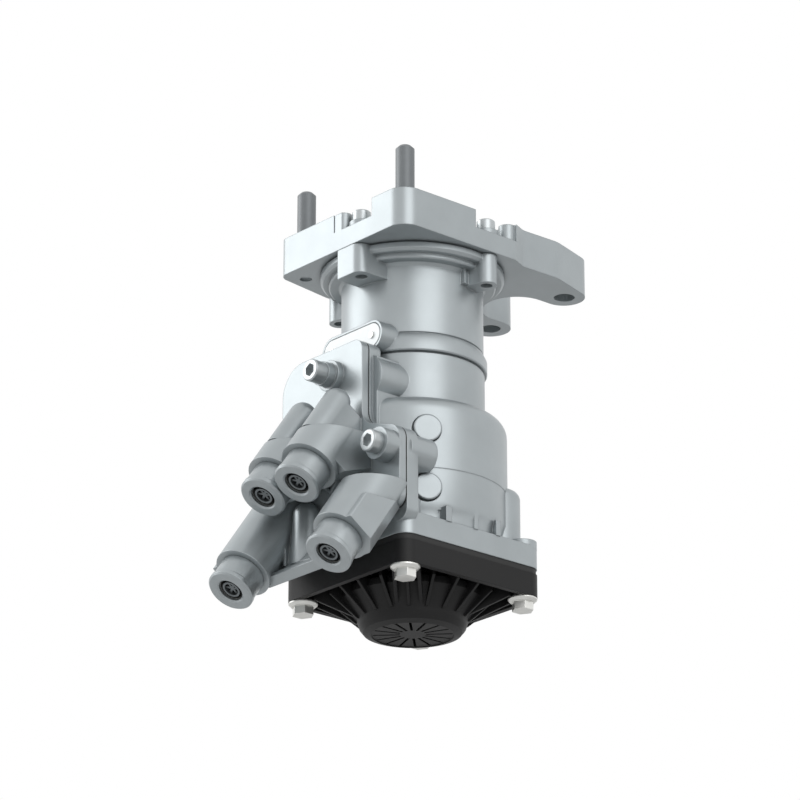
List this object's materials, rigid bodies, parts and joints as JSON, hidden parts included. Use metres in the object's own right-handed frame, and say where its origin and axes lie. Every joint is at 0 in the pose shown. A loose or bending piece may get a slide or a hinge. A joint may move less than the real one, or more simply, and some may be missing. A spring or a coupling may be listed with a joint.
{
  "type": "foot brake valve",
  "caption": "two-circuit air brake valve: cast cylinder body under a mounting plate, slanted push-in ports on a side manifold, black ribbed exhaust cover",
  "frame": {"origin": "middle of the mounting plate's top face, on the valve's axis", "axes": "+Z along the valve's axis, out of the mounting face towards the pedal; +X towards the plate's fork; -X towards the manifold with the ports; +Y completes a right-handed frame"},
  "size_m": [0.1532, 0.0868, 0.1995],
  "materials": {
    "cast_aluminium": "blasted casting",
    "plain_aluminium": "satin, machined",
    "dark_steel": "dark phosphated",
    "zinc_steel": "zinc plated",
    "spring_steel": "drawn wire",
    "brass": "turned",
    "grey_plastic": "moulded",
    "black_plastic": "moulded, fine grain",
    "rubber": "moulded",
    "silencer_fabric": "felted fibre"
  },
  "bodies": {
    "valve_body": {"mounting_plate": "cast_aluminium", "mounting_studs": "dark_steel", "plate_screws": "zinc_steel", "valve_housing": "cast_aluminium", "core_plugs": "cast_aluminium", "data_plate": "plain_aluminium", "data_plate_pins": "zinc_steel", "manifold_gasket": "rubber", "manifold": "cast_aluminium", "manifold_screws": "zinc_steel", "port_1_nut": "plain_aluminium", "port_2_nut": "plain_aluminium", "port_3_nut": "plain_aluminium", "port_4_nut": "plain_aluminium", "port_1_grip_ring": "brass", "port_2_grip_ring": "brass", "port_3_grip_ring": "brass", "port_4_grip_ring": "brass", "port_1_sleeve": "grey_plastic", "port_2_sleeve": "grey_plastic", "port_3_sleeve": "grey_plastic", "port_4_sleeve": "grey_plastic", "port_1_seal": "rubber", "port_2_seal": "rubber", "port_3_seal": "rubber", "port_4_seal": "rubber", "guide_disc": "black_plastic", "plunger_boot": "rubber", "primary_return_spring": "spring_steel", "primary_valve_spring": "spring_steel", "primary_valve_guide": "black_plastic", "primary_circlip": "spring_steel", "relay_return_spring": "spring_steel", "secondary_insert": "plain_aluminium", "insert_o_rings": "rubber", "secondary_valve_spring": "spring_steel", "secondary_valve_guide": "black_plastic", "secondary_circlip": "spring_steel", "cover_gasket": "rubber", "exhaust_cover": "black_plastic", "cover_bolts": "zinc_steel", "exhaust_flap": "rubber", "silencer_mat": "silencer_fabric"},
    "plunger_body": {"plunger": "zinc_steel"},
    "primary_piston_body": {"primary_piston": "plain_aluminium", "primary_piston_o_rings": "rubber", "graduating_spring": "spring_steel"},
    "primary_valve_body": {"primary_valve": "rubber"},
    "relay_piston_body": {"relay_piston": "plain_aluminium", "relay_piston_o_ring": "rubber"},
    "secondary_valve_body": {"secondary_valve": "rubber"}
  },
  "joints": [
    {"name": "plunger_slide", "type": "slide", "parent": "valve_body", "child": "plunger_body", "axis": [0, 0, -1], "range_m": [0, 0.01], "stiffness_N_per_m": 2000, "deforming": ["plunger_boot", "graduating_spring"]},
    {"name": "primary_piston_slide", "type": "slide", "parent": "valve_body", "child": "primary_piston_body", "axis": [0, 0, -1], "range_m": [0, 0.0025], "stiffness_N_per_m": 1000, "deforming": ["primary_return_spring"]},
    {"name": "primary_valve_slide", "type": "slide", "parent": "valve_body", "child": "primary_valve_body", "axis": [0, 0, -1], "range_m": [0, 0.001], "stiffness_N_per_m": 1000, "deforming": ["primary_valve_spring"]},
    {"name": "relay_piston_slide", "type": "slide", "parent": "valve_body", "child": "relay_piston_body", "axis": [0, 0, -1], "range_m": [0, 0.0025], "stiffness_N_per_m": 1000, "deforming": ["relay_return_spring"]},
    {"name": "secondary_valve_slide", "type": "slide", "parent": "valve_body", "child": "secondary_valve_body", "axis": [0, 0, -1], "range_m": [0, 0.001], "stiffness_N_per_m": 1000, "deforming": ["secondary_valve_spring"]}
  ],
  "couplings": [
    {"joint": "primary_piston_slide", "follows": "plunger_slide", "ratio": 0.25},
    {"joint": "primary_valve_slide", "follows": "plunger_slide", "ratio": 0.1},
    {"joint": "relay_piston_slide", "follows": "plunger_slide", "ratio": 0.25},
    {"joint": "secondary_valve_slide", "follows": "plunger_slide", "ratio": 0.1}
  ]
}
